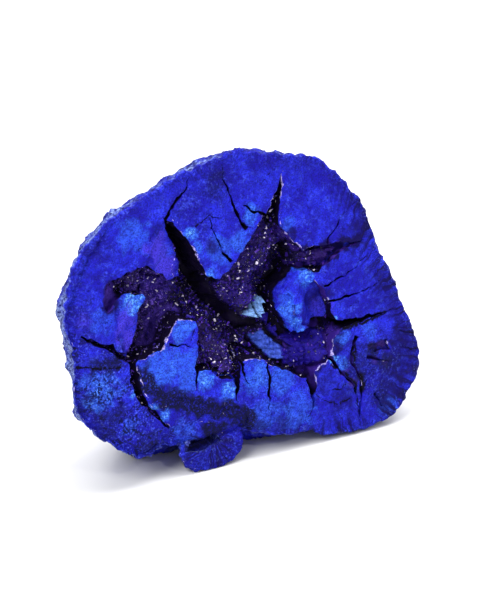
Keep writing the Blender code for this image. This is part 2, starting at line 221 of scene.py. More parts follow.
# Zones of colour on the face: u, v, radius, strength
azureZones = [
    (-19.6, -15.4, 1.4, 0.35), (-25.8, -7.2, 1.4, 0.4), (-16.6, 13.6, 2.4, 0.45),
    (-7.3, 12.0, 1.1, 1.0), (-6.3, 9.6, 0.9, 0.7), (-2.8, 8.7, 2.4, 0.5), (-4.6, 5.2, 1.2, 0.9),
    (0.7, 9.3, 1.8, 0.6), (3.0, 13.2, 1.4, 0.8), (-17.5, 3.4, 2.2, 1.3), (11.5, 2.0, 1.7, 0.9),
    (8.0, -0.9, 1.2, 0.5), (8.8, -3.0, 1.5, 0.8), (9.7, -5.5, 1.1, 0.9), (-9.7, -2.2, 1.7, 0.75),
    (-13.4, -7.4, 3.2, 0.7), (-9.8, -8.0, 2.4, 0.6), (-9.6, -11.0, 1.4, 0.6), (-6.5, -10.9, 1.5, 1.0),
    (-2.7, -13.5, 1.7, 1.0), (-18.6, -10.3, 0.7, 0.9), (-15.2, -13.3, 0.8, 1.0),
    (-13.5, -14.9, 0.9, 0.9), (2.2, -12.5, 2.6, 0.7), (6.0, -13.6, 2.4, 0.6), (15.7, -12.1, 0.8, 1.6),
    (16.0, -5.8, 0.45, 1.5), (16.9, -13.0, 1.0, 0.8), (17.3, -9.4, 1.3, 0.7), (22.3, -8.8, 1.4, 0.4),
    (8.5, -19.0, 3.0, 0.45), (3.0, -18.6, 2.4, 0.45), (-22.5, 2.0, 2.0, 0.3), (24.8, -22.0, 1.6, 0.5),
    (9.0, 10.5, 1.2, 0.35), (-11.5, 9.5, 1.2, 0.2), (-23.6, -9.0, 2.8, 0.75), (-10.5, -19.0, 2.0, 0.4),
    (-19.7, -2.6, 0.7, 0.6), (-6.3, 2.9, 0.7, 0.5),
]
violetZones = [
    (21.6, 7.4, 2.4, 0.8), (25.3, -1.2, 2.2, 0.7), (28.6, -11.6, 3.6, 1.0), (27.2, -15.6, 3.8, 1.0),
    (24.4, -19.0, 2.8, 0.9), (20.4, -14.0, 3.2, 0.8), (13.7, -15.6, 1.8, 0.7), (17.1, -18.6, 2.2, 0.8),
    (-12.3, 13.6, 1.2, 0.7), (13.6, -2.2, 2.0, 0.8), (13.2, -8.6, 3.0, 1.0), (9.8, -10.8, 2.0, 1.0),
    (-4.2, 9.6, 1.0, 1.0), (12.0, 4.6, 1.8, 1.5), (15.6, 4.8, 1.9, 1.6), (18.2, 5.5, 1.5, 1.6),
    (20.6, 5.7, 1.2, 1.6), (-2.6, 19.6, 1.6, 0.4), (-7.0, -23.4, 4.2, 0.45), (23.0, 10.2, 2.4, 0.9),
    (9.2, 8.6, 1.5, 1.0), (15.9, -8.6, 1.5, 1.2), (16.2, -10.6, 1.2, 1.2), (13.0, -12.8, 1.4, 1.2),
    (12.2, -14.0, 0.9, 1.0), (18.6, 14.5, 2.0, 0.3), (26.0, -5.0, 2.4, 0.5), (-21.0, 3.8, 1.5, 1.2),
    (-20.4, 6.0, 1.3, 1.2), (-17.4, 7.2, 1.2, 1.2), (-12.6, 10.6, 1.2, 0.45), (-18.6, -3.4, 1.0, 0.45),
]
lilacZones = [
    (-18.2, 0.6, 1.9, 0.9), (-18.3, -2.4, 1.6, 1.0), (-12.8, 10.6, 2.0, 0.9), (-11.2, 7.4, 1.7, 0.9),
    (-25.4, 2.0, 1.4, 0.4), (15.0, -4.4, 1.4, 0.5),
]
darkZones = [
    (-24.2, -4.9, 1.3, 0.9), (-21.6, -5.0, 1.3, 0.9), (-25.6, -10.0, 1.6, 0.5),
    (-23.0, -13.6, 2.0, 0.5), (-16.8, -18.8, 2.2, 0.6), (-23.4, -15.2, 1.8, 0.5),
    (-21.8, -13.2, 1.5, 0.6), (-27.3, -11.0, 1.0, 0.6), (-2.6, 17.4, 1.4, 0.4), (-2.4, 20.4, 1.2, 0.4),
    (22.6, -12.0, 1.6, 0.9), (24.6, -14.6, 1.2, 0.7), (20.0, -16.4, 1.0, 0.7), (-16.0, -6.4, 0.8, 0.5),
    (-6.0, -18.9, 1.5, 1.0), (-4.0, -19.3, 1.2, 1.0), (2.2, -20.6, 1.5, 0.6), (5.6, -21.2, 1.5, 0.4),
]
grainyZones = [
    (-24.0, -9.0, 4.6, 1.0), (-20.5, -15.0, 4.8, 1.0), (-17.0, -20.5, 4.4, 1.0),
    (-27.0, -2.0, 2.6, 1.0), (-13.4, -22.6, 3.2, 0.9), (-26.0, 4.0, 2.2, 0.5), (-21.5, -5.4, 3.0, 1.0),
    (-18.0, -8.0, 2.0, 0.8), (-9.6, -17.2, 2.6, 0.6), (22.8, -19.4, 1.5, 0.8), (-2.4, 18.4, 2.4, 0.6),
    (-8.4, 17.0, 2.4, 0.4), (22.6, -14.0, 4.4, 0.6), (-22.0, 13.0, 2.4, 0.4), (-5.4, 12.6, 2.4, 0.5),
    (4.0, -16.8, 4.0, 0.4),
]
brownZones = [
    (22.2, -11.7, 0.8, 0.9), (23.6, -11.9, 0.8, 0.9), (24.8, -12.1, 0.7, 0.9), (18.6, -16.9, 0.7, 0.6),
    (22.9, -14.0, 0.6, 0.5), (24.6, -14.8, 0.5, 0.5), (17.2, -15.0, 0.6, 0.6), (13.4, 5.0, 0.9, 0.5),
]

# Deep floors of the nodule itself that carry crystals; their violet tint is also brightened as painted
# light against the pit's shade
druseZones = [
    (-10.4, -0.8, 3.6, 1.0), (-12.6, -4.0, 2.2, 1.0), (-13.5, 3.5, 4.0, 0.8), (-20.4, 4.0, 1.7, 0.9),
]

# The left edge of the blue island, whose walls stay blue, free of the hollow's painted shade
islandEdge = [([(10.6, 3.0), (8.8, 1.7), (6.7, 0.0), (6.9, -3.0), (9.0, -6.9), (9.6, -4.6)], 1.0)]

# Dark granular band across the lower face: route and half-width
bandLines = [
    ([(-16.9, -8.2), (-16.2, -9.6), (-14.4, -11.6), (-11.6, -13.1), (-8.2, -14.7), (-4.8, -16.0),
      (-1.6, -17.5), (0.2, -19.2)], 1.7),
]

# Pale lines along the edges, partly pale crust and partly painted edge highlight: route and half-width
paleLines = [
    ([(-11.7, 15.9), (-11.5, 14.8), (-11.1, 13.6), (-10.5, 12.7), (-10.2, 11.5)], 0.03),
    ([(-10.1, 10.5), (-9.7, 9.6), (-9.5, 8.4), (-10.0, 7.3), (-10.0, 6.0), (-10.0, 4.8)], 0.06),
    ([(-11.2, 16.9), (-11.0, 15.8), (-10.3, 14.8), (-9.6, 14.0), (-8.8, 12.8), (-7.9, 11.4)], 0.04),
    ([(-7.9, 11.4), (-7.0, 9.8), (-6.1, 7.7), (-5.2, 5.4), (-4.6, 5.0)], 0.04),
    ([(-15.2, 3.4), (-16.2, 1.3), (-16.4, -0.5), (-16.8, -2.0), (-17.8, -3.6)], 0.05),
    ([(-8.0, -1.2), (-10.0, -0.4), (-11.9, -2.3), (-12.9, -4.6), (-15.0, -5.2), (-17.2, -5.7)], 0.05),
    ([(-25.9, -0.1), (-23.9, -1.2), (-22.0, -2.0), (-20.4, -3.4)], 0.03),
    ([(-23.4, 14.2), (-21.9, 15.4), (-19.4, 16.8), (-16.9, 17.9), (-13.4, 19.1)], 0.03),
    ([(8.7, 18.9), (8.2, 15.5), (7.6, 11.0), (8.8, 9.0), (11.2, 6.1), (13.2, 6.4)], 0.03),
    ([(18.6, 5.0), (16.2, 3.6), (14.0, 2.2)], 0.03),
    ([(12.9, 1.1), (14.4, -0.8), (15.3, -2.8), (15.9, -5.4)], 0.03),
    ([(16.8, -8.0), (15.8, -9.2), (15.4, -11.0), (14.8, -12.3), (12.5, -13.5), (12.3, -16.4)], 0.04),
    ([(19.6, -9.8), (18.6, -11.8), (18.7, -13.4), (19.9, -15.5), (20.8, -18.2)], 0.03),
    ([(15.1, -13.0), (16.7, -14.2), (18.0, -16.0), (19.3, -18.6)], 0.03),
    ([(-0.2, -9.0), (2.4, -9.4), (5.1, -11.1), (9.4, -13.4)], 0.03),
    ([(-17.0, -5.5), (-17.7, -7.0), (-17.2, -9.3), (-16.5, -11.2), (-15.6, -12.9)], 0.05),
    ([(-15.6, -12.9), (-14.5, -14.5), (-13.6, -16.0), (-12.3, -17.7)], 0.04),
    ([(-3.9, -14.5), (-3.7, -16.0), (-3.5, -17.6), (-3.6, -19.5)], 0.03),
    ([(-3.8, -19.9), (-4.5, -20.6), (-6.1, -22.4)], 0.03),
    ([(-16.0, -12.5), (-13.7, -13.4), (-11.6, -14.0)], 0.03), ([(-8.7, -17.5), (-4.7, -18.1)], 0.04),
    ([(-7.6, -9.2), (-8.5, -11.5), (-8.6, -13.0)], 0.03),
    ([(-1.4, -15.2), (-0.8, -12.1), (-0.3, -9.2)], 0.03),
    ([(21.6, -11.3), (25.3, -11.3), (25.6, -12.6)], 0.03), ([(22.0, -13.8), (25.8, -15.0)], 0.03),
    ([(6.0, 0.4), (6.8, -2.9), (8.8, -6.7)], 0.03), ([(22.4, -19.0), (23.4, -21.0)], 0.03),
    ([(-14.6, 8.6), (-12.3, 6.6), (-10.2, 4.9)], 0.03), ([(0.2, 7.1), (4.6, 11.8), (7.6, 16.3)], 0.03),
    ([(-11.6, -21.5), (-11.2, -22.9), (-9.7, -24.2), (-8.0, -25.2)], 0.04),
    ([(-28.0, -5.0), (-27.8, -8.9), (-27.3, -11.5), (-25.6, -14.6), (-22.9, -17.1)], 0.04),
    ([(-27.8, 5.2), (-28.2, 2.6), (-28.0, 0.2), (-27.2, -2.4)], 0.03),
]

# Hairline cracks, without depth of their own in the solid: route and half-width
hairLines = [
    ([(-6.4, 13.2), (-4.9, 13.9), (-4.1, 14.4), (-2.6, 13.6)], 0.09),
    ([(-3.3, 9.0), (-1.5, 9.0), (0.5, 8.4), (1.7, 8.6)], 0.06), ([(1.5, 12.3), (2.7, 10.8)], 0.07),
    ([(-25.2, 6.9), (-23.2, 6.5), (-22.2, 6.2)], 0.05), ([(-7.9, -2.8), (-8.5, -4.4)], 0.08),
    ([(14.9, -17.3), (16.4, -17.3), (17.7, -16.9)], 0.10), ([(15.3, -19.7), (18.1, -19.5)], 0.11),
    ([(19.7, -19.4), (19.6, -21.0), (19.3, -22.6)], 0.09), ([(-0.3, -10.5), (0.6, -12.9)], 0.10),
    ([(12.1, -17.4), (13.7, -18.8), (15.3, -19.4)], 0.06), ([(27.5, -10.2), (30.3, -11.0)], 0.10),
    ([(27.4, -12.4), (30.5, -13.8)], 0.09), ([(24.9, -17.2), (28.1, -20.7)], 0.08),
    ([(-27.0, -4.4), (-23.5, -5.4), (-20.2, -6.0)], 0.14),
    ([(-4.1, 14.4), (-3.4, 16.4), (-3.6, 18.6)], 0.05),
    ([(-1.0, 18.6), (-1.4, 20.0), (-1.2, 22.0)], 0.06), ([(4.2, -17.8), (3.7, -20.4)], 0.05),
    ([(6.3, -22.0), (7.3, -19.0), (6.6, -16.6)], 0.05),
    ([(18.2, 9.8), (19.4, 11.2), (20.9, 12.0)], 0.05),
    ([(10.0, 16.6), (12.3, 14.2), (12.9, 11.6), (12.2, 8.6)], 0.05),
    ([(2.4, 17.6), (5.0, 17.9), (7.6, 19.4)], 0.05),
    ([(-16.0, 11.0), (-13.9, 12.0), (-13.0, 14.6)], 0.05), ([(-23.0, 1.4), (-20.6, 1.2)], 0.05),
    ([(23.3, -1.8), (25.4, -0.8)], 0.07), ([(26.2, -6.6), (28.6, -6.2)], 0.07),
    ([(21.4, -5.6), (22.9, -3.6), (22.6, -2.2)], 0.05), ([(10.5, -21.0), (12.1, -18.9)], 0.05),
    ([(20.8, 2.0), (22.6, 3.4)], 0.06), ([(20.6, -3.9), (18.6, -4.6)], 0.05),
    ([(2.9, 0.0), (3.0, -1.5)], 0.14), ([(-21.9, -10.6), (-19.6, -12.6), (-18.6, -14.8)], 0.05),
    ([(19.8, -10.7), (19.1, -12.4), (19.1, -13.8), (19.6, -15.2), (20.2, -16.9), (20.5, -18.6)], 0.3),
    ([(20.1, -15.9), (20.8, -17.3), (20.6, -18.4)], 0.45),
    ([(17.4, -7.6), (19.3, -7.45), (21.4, -7.2), (23.6, -6.85), (25.2, -6.6)], 0.42),
    ([(15.3, -13.3), (17.1, -14.7), (18.1, -15.6), (18.9, -17.0), (19.4, -18.9)], 0.26),
]


noduleSetup = {
    # longest edge on the face, in the hollow, on the flanks and on the back
    "rounds": 12, "faceEdge": 0.42, "hollowEdge": 0.6, "flankEdge": 0.8, "backEdge": 1.3,
    # relief: size and height
    "warp": ((1.3, 0.22), (0.5, 0.10)),
    "faceRelief": ((4.0, 0.10), (1.2, 0.07), (0.5, 0.05)), "grainRelief": (0.42, 0.14),
    "pocks": (0.8, 0.05), "rindLumps": (1.15, 0.36), "rindKnobs": (3.8, 0.95),
    "rindGrain": ((0.6, 0.07), (2.6, 0.15)), "rindInset": 0.3, "scallops": (1.1, 0.35),
    "groove": 0.16, "lowerLeftBevel": 0.75, "footFace": -0.85,
    # ovals on the face: middle and half-widths
    "foot": ((-6.3, -21.2), (5.8, 4.8)), "footPit": ((-7.7, -21.1), (2.9, 1.1)),
    "island": ((13.4, -3.2), (3.3, 3.7)),
    # places that the fibres run out from
    "fanMiddle": (12.0, -8.0), "footFan": (-5.8, -21.0), "footMiddle": (-6.6, -22.2),
    # where the hollow's painted shade ends towards the lower edge, and its share on the foot
    "hollowEnds": (-18.4, -16.8), "footHollow": 0.25, "footMerge": (-21.6, -20.2),
    # a point lies under the crust when the crust stands above it or this far beside it
    "crustBeside": 0.9, "crustAbove": 3.0,
}


def refineMesh(bm, rounds, limitAt):
    # Halves the edges that are too long for their depth, at most one to a triangle in each round.
    for _ in range(rounds):
        edges = list(bm.edges)
        bm.verts.index_update()
        vertDepth = -toFace([vert.co for vert in bm.verts])[:, 2]
        ends = np.array([(edge.verts[0].index, edge.verts[1].index) for edge in edges])
        limit = limitAt(vertDepth[ends].mean(axis=1))
        excess = np.array([edge.calc_length() for edge in edges]) / mm / limit
        chosen, used = [], set()
        for k in np.argsort(-excess)[:(excess > 1).sum()]:
            faces = edges[k].link_faces
            if used.isdisjoint(faces):
                chosen.append(edges[k])
                used.update(faces)
        bmesh.ops.subdivide_edges(bm, edges=chosen, cuts=1, use_single_edge=True)


def noduleLimit(depth):
    s = noduleSetup
    front = np.where(depth < 0.6, s["faceEdge"], s["hollowEdge"])
    limit = np.where(depth < 3.5, front, s["flankEdge"])
    return np.where(depth > 9.0, s["backEdge"], limit)


def warpOffset(vectors, points):
    # Slides points sideways along the face, so that straight edges turn ragged.
    offset = np.zeros((len(vectors), 3))
    for seed, (size, amount) in enumerate(noduleSetup["warp"]):
        offset[:, 0] += amount * 2 * noiseOver(vectors, size, 20 + seed)
        offset[:, 1] += amount * 2 * noiseOver(vectors, size, 30 + seed)
    near = smooth(-9.5, -7.5, points[:, 2])
    return offset * near[:, None]


def rimPlaces(bm):
    # The angle and distance of the broken face's rim around its middle.
    places = []
    for edge in bm.edges:
        ends = toFace([vert.co for vert in edge.verts])
        away = np.hypot(*(ends.mean(axis=0)[:2] - facePlane["middle"]))
        tilts = [float(faceAxes[2] @ np.array(face.normal)) for face in edge.link_faces]
        if ends[:, 2].min() > -0.02 and away > 17 and 0.3 < min(tilts) < 0.9:
            places.append(ends.mean(axis=0))
    toRim = np.array(places)[:, :2] - facePlane["middle"]
    angle = np.arctan2(toRim[:, 1], toRim[:, 0])
    order = np.argsort(angle)
    return angle[order], np.hypot(*toRim[order].T)


def insideRim(points, rim):
    # Distance across the face from each point to the rim, counted inwards.
    there = points[:, :2] - facePlane["middle"]
    reach = np.interp(np.arctan2(there[:, 1], there[:, 0]), *rim, period=2 * pi)
    return reach - np.hypot(*there.T)


def openToFront(mesh, points, normals):
    # True where nothing of the nodule stands between the point and the front.
    triangles = [tuple(p.vertices) for p in mesh.polygons]
    tree = BVHTree.FromPolygons([tuple(p) for p in points], triangles)
    starts = points + normals * 0.03 + (0, 0, 0.03)
    return np.array([tree.ray_cast(Vector(p), ahead)[0] is None for p in starts])


def zoneMask(points, vectors, zones, seed):
    # Soft blotches with ragged edges around the zones' places.
    ragged = 0.7 * noiseOver(vectors, 1.5, seed) + 0.4 * noiseOver(vectors, 0.5, seed + 1)
    mask = np.zeros(len(points))
    for u, v, radius, strength in zones:
        away = np.hypot(points[:, 0] - u, points[:, 1] - v) / radius + ragged
        mask = np.maximum(mask, strength * smooth(1.3, 0.6, away))
    return mask


def studyNodule(mesh, rim, crustTree):
    # Works out where each point lies: on the face, in the hollow, on the rind or on the foot.
    s = noduleSetup
    at = SimpleNamespace(points=toFace(meshCoords(mesh)), normals=meshNormals(mesh) @ faceAxes.T)
    at.vectors = [Vector(p) for p in at.points]
    at.depth = -at.points[:, 2]
    at.inward = insideRim(at.points, rim)
    isOpen = openToFront(mesh, at.points, at.normals)
    at.front = isOpen & ((at.inward > 0.8) | (at.normals[:, 2] > 0.5))
    step = s["crustBeside"]
    shifts = ((0, 0, 0), (step, 0, 0), (-step, 0, 0), (0, step, 0), (0, -step, 0))
    beside = [Vector(shift) for shift in shifts]
    underCrust = np.array([
        d > 0.9 and any(crustTree.ray_cast(v + b, ahead, s["crustAbove"])[0] for b in beside)
        for v, d in zip(at.vectors, at.depth)
    ])
    wall = smooth(0.72, 0.4, at.normals[:, 2])
    at.foot = smooth(1.15, 0.95, ovalDistance(at.points, s["foot"]))
    at.merge = at.foot * smooth(*s["footMerge"], at.points[:, 1])
    onIsland = ovalDistance(at.points, s["island"]) < 1
    deep = (at.depth > 2.1) & (at.depth < 12) & ~onIsland
    inner = ~isOpen & (at.depth > 0.8) & (at.depth < 6) & (at.inward > 3)
    # Share of painted shade: walls and deep places of the hollow, and hidden inner faces, are coloured
    # near-black as shade.
    hollow = at.front * np.maximum(wall * smooth(0.05, 0.5, at.depth), underCrust | deep) * (1 - at.merge)
    hollow = np.maximum(hollow, inner)
    nearIsland = smooth(2.2, 1.2, lineDistance(at.points, islandEdge)) * smooth(3.4, 1.0, at.depth)
    hollow *= 1 - 0.9 * nearIsland
    hollow *= np.where(at.foot > 0.5, s["footHollow"], smooth(*s["hollowEnds"], at.points[:, 1]))
    at.hollow = hollow
    at.rind = (1 - at.front) * (1 - inner) * smooth(0.05, 0.5, at.depth)
    at.onTop = at.front * (1 - hollow)
    at.hair = lineDistance(at.points, hairLines)
    grainy = zoneMask(at.points, at.vectors, grainyZones, 51)
    at.grainy = np.maximum(grainy, 0.5 * smooth(1.6, 0.4, at.inward)) * (at.depth < 5)
    return at


def cellLumps(vectors, lumps, level, seed):
    # Rounded lumps around scattered centres: their size and height.
    size, height = lumps
    return (level - cellsOver(vectors, size, seed)) * height


def noiseRelief(vectors, layers, seed):
    return sum(height * 2 * noiseOver(vectors, size, seed + k) for k, (size, height) in enumerate(layers))


def rindHeight(vectors):
    # Small lumps, low knobs and grain of the outer skin.
    s = noduleSetup
    lumps = cellLumps(vectors, s["rindLumps"], 0.45, 3)
    lumps = lumps + cellLumps(vectors, s["rindKnobs"], 0.45, 6)
    return lumps - s["rindInset"] + noiseRelief(vectors, s["rindGrain"], 5)


def markNodule(mesh, at, lumps):
    # Gives every point the masks that the material reads.
    s = noduleSetup
    points, vectors, depth, inward = at.points, at.vectors, at.depth, at.inward
    facing = at.normals[:, 2]
    band = smooth(1.15, 0.7, lineDistance(points, bandLines) + 0.5 * noiseOver(vectors, 0.9, 47))
    pit = smooth(1.2, 0.9, ovalDistance(points, s["footPit"])) * at.foot
    # Violet druse tint on up-facing floors and on all faces deeper than about 4 mm: partly the floor's own
    # colour, partly painted light against the pit's shade.
    flat = np.maximum(smooth(0.2, 0.6, facing), smooth(4.0, 5.5, depth)) * smooth(1.0, 2.0, depth)
    # Keeps the painted edge highlight on the tops, off the walls below the edges.
    belowEdge = 4 * smooth(0.35, 0.9, depth) * (1 - smooth(0.5, 0.8, facing))
    fromFan = points[:, :2] - s["fanMiddle"]
    fromFoot = points[:, :2] - s["footFan"]
    fanAngle = np.arctan2(-fromFan[:, 0], fromFan[:, 1])
    footAngle = 0.22 * np.arctan2(fromFoot[:, 0], -fromFoot[:, 1])
    wobble = noiseOver(vectors, 3.0, 64)
    rings = noiseOver([Vector((i + 1.2 * w, 0, 0)) for i, w in zip(inward, wobble)], 1.1, 63)
    rightRim = smooth(6.5, 0.8, inward) * smooth(10, 18, points[:, 0] - 0.25 * points[:, 1])
    footRays = smooth(5.6, 3.0, np.hypot(*(points[:, :2] - s["footMiddle"]).T))
    masks = {
        "hollowDark": at.hollow,
        "rindCover": at.rind,
        "rindLow": smooth(0.05, -0.5, lumps),
        "azureZone": zoneMask(points, vectors, azureZones, 41) * smooth(3.2, 2.2, depth),
        "violetZone": zoneMask(points, vectors, violetZones, 43),
        "darkBand": np.maximum.reduce([zoneMask(points, vectors, darkZones, 45), band, pit]),
        "lilacZone": zoneMask(points, vectors, lilacZones, 49),
        "brownZone": zoneMask(points, vectors, brownZones, 57),
        "grainyZone": at.grainy,
        "druseTintAndPaintedLight": zoneMask(points, vectors, druseZones, 55) * flat,
        "dustSide": smooth(-14, -22, points[:, 0]) * smooth(5.5, 2.0, depth),
        "paleLine": lineDistance(points, paleLines) + belowEdge,
        "hairLine": at.hair + 9 * (1 - at.onTop),
        "fanAngle": np.where(at.foot > 0.5, footAngle, fanAngle),
        "rings": smooth(0.05, -0.3, rings) * smooth(0.2, 1.5, inward) * smooth(10, 6, inward),
        "fibres": np.maximum.reduce([rightRim, footRays, 0.3 * smooth(8, 1, inward)]),
    }
    for name, values in masks.items():
        addMask(mesh, name, values)


def roughenNodule(mesh, at, lumps):
    # Ragged edges, relief and hairline grooves on the face, lumps on the rind, scallops along the rim.
    s = noduleSetup
    points, vectors, depth, inward = at.points, at.vectors, at.depth, at.inward
    grainSize, grainHeight = s["grainRelief"]
    pockSize, pockDepth = s["pocks"]
    relief = noiseRelief(vectors, s["faceRelief"], 0)
    relief = relief + grainHeight * at.grainy * noiseOver(vectors, grainSize, 53)
    relief = relief - s["groove"] * smooth(2.2, 0.4, at.hair)
    relief = relief - pockDepth * smooth(0.25, 0.6, -noiseOver(vectors, pockSize, 9))
    towardRim = smooth(1.3, 0.0, inward) * smooth(1.5, 0.5, depth)
    scallop = cellLumps(vectors, s["scallops"], 0.42, 8)
    outward = np.zeros_like(points)
    outward[:, :2] = points[:, :2] - facePlane["middle"]
    outward /= np.linalg.norm(outward, axis=1)[:, None]
    lowerLeft = smooth(-6, -16, points[:, 0] + 0.6 * points[:, 1])
    bevel = s["lowerLeftBevel"] * lowerLeft * smooth(2.4, 0.0, inward) ** 1.5
    pressed = np.minimum(points[:, 2], s["footFace"] * at.merge)
    points[:, 2] = np.where((at.merge > 0.01) & (depth < 3), pressed, points[:, 2])
    points = points + warpOffset(vectors, points)
    points[:, 2] += (relief - bevel) * at.onTop * smooth(-0.1, 0.5, inward)
    points += at.normals * (lumps * at.rind * (1 - towardRim))[:, None]
    points += outward * (scallop * towardRim)[:, None]
    world = toWorld(points)
    world[:, 2] = np.maximum(world[:, 2], 0)
    mesh.vertices.foreach_set("co", world.ravel())
    mesh.update()


def makeNodule():
    bm = joinedNode("nodule")
    rim = rimPlaces(bm)
    refineMesh(bm, noduleSetup["rounds"], noduleLimit)
    mesh = meshFrom(bm, "azurite_nodule")
    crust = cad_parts["crystal_crust"].data
    crustTree = BVHTree.FromPolygons([tuple(v) for v in toFace(meshCoords(crust))],
                                     [tuple(p.vertices) for p in crust.polygons])
    at = studyNodule(mesh, rim, crustTree)
    lumps = rindHeight(at.vectors)
    markNodule(mesh, at, lumps)
    roughenNodule(mesh, at, lumps)
    mesh.shade_smooth()
    piece = addPiece("azurite_nodule", mesh)
    mesh.materials.append(azuriteMaterial())
    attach(piece, "root")
    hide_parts("nodule")
    print("nodule,", len(mesh.polygons), "triangles,", len(rim[0]), "rim places")
    return piece, at, crustTree


def newGroup(name, inputs, outputs):
    group = bpy.data.node_groups.new(name, "ShaderNodeTree")
    for title, kind, value in inputs:
        socket = group.interface.new_socket(title, in_out="INPUT", socket_type=kind)
        if value is not None:
            socket.default_value = value
    for title, kind in outputs:
        group.interface.new_socket(title, in_out="OUTPUT", socket_type=kind)
    return group, group.nodes.new("NodeGroupInput"), group.nodes.new("NodeGroupOutput")


class NodeBench:
    # Short ways to add and join nodes in one tree.
    def __init__(self, tree):
        self.tree = tree

    def put(self, socket, value):
        if isinstance(value, bpy.types.NodeSocket):
            self.tree.links.new(value, socket)
        else:
            socket.default_value = value

    def node(self, kind, **settings):
        item = self.tree.nodes.new(kind)
        for key, value in settings.items():
            setattr(item, key, value)
        return item

    def math(self, operation, a, b=0.0):
        item = self.node("ShaderNodeMath", operation=operation)
        self.put(item.inputs[0], a)
        self.put(item.inputs[1], b)
        return item.outputs[0]

    def times(self, *values):
        result = values[0]
        for value in values[1:]:
            result = self.math("MULTIPLY", result, value)
        return result

    def ramp(self, value, low, high, toLow=0.0, toHigh=1.0):
        item = self.node("ShaderNodeMapRange", interpolation_type="SMOOTHSTEP")
        for socket, setting in zip(item.inputs, (value, low, high, toLow, toHigh)):
            self.put(socket, setting)
        return item.outputs[0]

    def mix(self, share, a, b, blend="MIX"):
        item = self.node("ShaderNodeMix", data_type="RGBA", blend_type=blend)
        self.put(item.inputs["Factor"], share)
        self.put(item.inputs["A"], a)
        self.put(item.inputs["B"], b)
        return item.outputs["Result"]

    def noise(self, vector, size, detail=3.0, rough=0.55):
        item = self.node("ShaderNodeTexNoise")
        self.put(item.inputs["Vector"], vector)
        item.inputs["Scale"].default_value = 1 / (size * mm)
        item.inputs["Detail"].default_value = detail
        item.inputs["Roughness"].default_value = rough
        return item.outputs["Fac"]

    def cells(self, vector, size):
        item = self.node("ShaderNodeTexVoronoi", feature="F1")
        self.put(item.inputs["Vector"], vector)
        item.inputs["Scale"].default_value = 1 / (size * mm)
        return item.outputs["Distance"]

    def mask(self, name):
        return self.node("ShaderNodeAttribute", attribute_name=name).outputs["Fac"]


def rgb(r, g, b):
    # A colour given as screen values out of 255.
    def linear(c):
        c = c / 255
        return c / 12.92 if c <= 0.04045 else ((c + 0.055) / 1.055) ** 2.4
    return (linear(r), linear(g), linear(b), 1)


def sugarGrainGroup():
    # Fine sugary grain: a value for colour and a height for bumps.
    group, given, out = newGroup(
        "sugarGrain",
        [("Vector", "NodeSocketVector", None), ("Coarse", "NodeSocketFloat", 0.5)],
        [("Grain", "NodeSocketFloat"), ("Height", "NodeSocketFloat")],
    )
    bench = NodeBench(group)
    vector = given.outputs["Vector"]
    fine = bench.noise(vector, 0.24, 3.0, 0.6)
    cell = bench.cells(vector, 0.45)
    coarse = bench.math("MULTIPLY", bench.math("SUBTRACT", 1.0, cell), given.outputs["Coarse"])
    total = bench.math("ADD", bench.math("MULTIPLY", fine, 0.7), bench.math("MULTIPLY", coarse, 0.6))
    bench.put(out.inputs["Grain"], bench.ramp(fine, 0.35, 0.68))
    bench.put(out.inputs["Height"], total)
    return group


sugarGrain = sugarGrainGroup()


def newMaterial(name, finish):
    # The material, its shader, a bench for its nodes, the place on the piece and the sugary grain.
    material = bpy.data.materials.new(name)
    material.use_nodes = True
    shader = material.node_tree.nodes["Principled BSDF"]
    shader.inputs["Specular IOR Level"].default_value = finish["specular"]
    b = NodeBench(material.node_tree)
    place = b.node("ShaderNodeTexCoord").outputs["Object"]
    grain = b.node("ShaderNodeGroup", node_tree=sugarGrain)
    b.put(grain.inputs["Vector"], place)
    return material, shader, b, place, grain


def addGrainBump(b, shader, grain, finish):
    bump = b.node("ShaderNodeBump")
    b.put(grain.inputs["Coarse"], finish["coarse"])
    b.put(bump.inputs["Strength"], finish["bump"])
    b.put(bump.inputs["Distance"], finish["bumpDepth"] * mm)
    b.put(bump.inputs["Height"], grain.outputs["Height"])
    b.put(shader.inputs["Normal"], bump.outputs["Normal"])


azuriteColours = {
    "blue": rgb(38, 47, 216), "deepBlue": rgb(27, 22, 164), "softBlue": rgb(60, 76, 226),
    "azure": rgb(56, 114, 246), "paleAzure": rgb(120, 190, 255), "violet": rgb(14, 5, 74),
    "lilac": rgb(70, 57, 214), "brown": rgb(62, 38, 116), "salt": rgb(98, 122, 232),
    "darkBand": rgb(14, 16, 48), "crack": rgb(6, 4, 22), "lip": rgb(188, 176, 240),
    "rind": rgb(40, 46, 172), "rindDeep": rgb(18, 16, 80), "dust": rgb(130, 150, 202),
    "hollow": rgb(12, 6, 30), "wine": rgb(54, 32, 132), "druseFloorAndPaintedLight": rgb(84, 60, 180),
}
azuriteFinish = {"specular": 0.06, "roughness": (0.45, 0.7), "coarse": 0.5, "bump": 0.6, "bumpDepth": 0.12}


